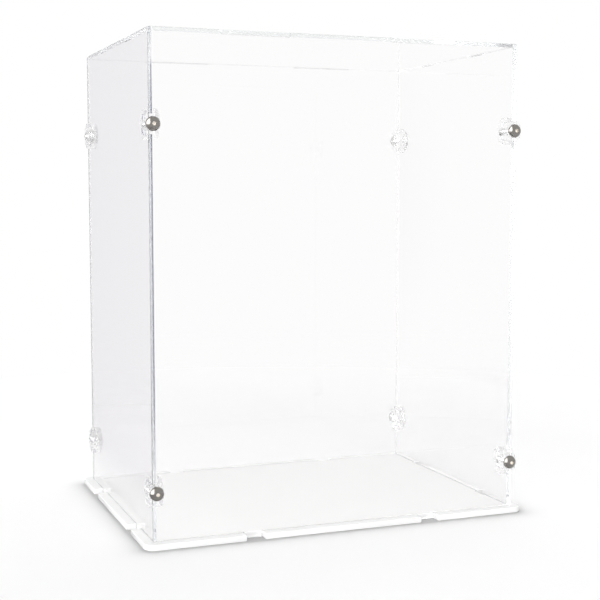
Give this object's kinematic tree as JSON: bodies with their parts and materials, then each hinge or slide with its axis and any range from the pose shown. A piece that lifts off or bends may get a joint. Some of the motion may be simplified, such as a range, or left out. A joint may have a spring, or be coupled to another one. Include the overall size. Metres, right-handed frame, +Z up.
{
  "type": "pedestal display case",
  "caption": "Clear knock-down display case with finger-jointed panels, corner studs and dome-head screws, lifting off a white base plate.",
  "frame": {"origin": "centre of the base plate's underside", "axes": "+Z up, -Y towards the front of the case, +X to the right seen from the front"},
  "size_m": [0.338, 0.248, 0.405],
  "materials": {
    "clear_acrylic": "polished",
    "white_acrylic": "gloss",
    "chromed_steel": "polished"
  },
  "bodies": {
    "base": {"base_plate": "white_acrylic"},
    "cover": {"front_panel": "clear_acrylic", "back_panel": "clear_acrylic", "left_panel": "clear_acrylic", "right_panel": "clear_acrylic", "stud_front_left_lower": "clear_acrylic", "stud_cap_front_left_lower": "clear_acrylic", "screw_front_left_lower": "chromed_steel", "nut_front_left_lower": "chromed_steel", "stud_front_left_upper": "clear_acrylic", "stud_cap_front_left_upper": "clear_acrylic", "screw_front_left_upper": "chromed_steel", "nut_front_left_upper": "chromed_steel", "stud_front_right_lower": "clear_acrylic", "stud_cap_front_right_lower": "clear_acrylic", "screw_front_right_lower": "chromed_steel", "nut_front_right_lower": "chromed_steel", "stud_front_right_upper": "clear_acrylic", "stud_cap_front_right_upper": "clear_acrylic", "screw_front_right_upper": "chromed_steel", "nut_front_right_upper": "chromed_steel", "stud_back_left_lower": "clear_acrylic", "stud_cap_back_left_lower": "clear_acrylic", "screw_back_left_lower": "chromed_steel", "nut_back_left_lower": "chromed_steel", "stud_back_left_upper": "clear_acrylic", "stud_cap_back_left_upper": "clear_acrylic", "screw_back_left_upper": "chromed_steel", "nut_back_left_upper": "chromed_steel", "stud_back_right_lower": "clear_acrylic", "stud_cap_back_right_lower": "clear_acrylic", "screw_back_right_lower": "chromed_steel", "nut_back_right_lower": "chromed_steel", "stud_back_right_upper": "clear_acrylic", "stud_cap_back_right_upper": "clear_acrylic", "screw_back_right_upper": "chromed_steel", "nut_back_right_upper": "chromed_steel"},
    "top": {"top_panel": "clear_acrylic"}
  },
  "joints": [
    {"name": "cover_lift", "type": "slide", "parent": "base", "child": "cover", "axis": [0, 0, 1], "range_m": [0, 0.42]},
    {"name": "top_lift", "type": "slide", "parent": "cover", "child": "top", "axis": [0, 0, 1], "range_m": [0, 0.12]}
  ]
}
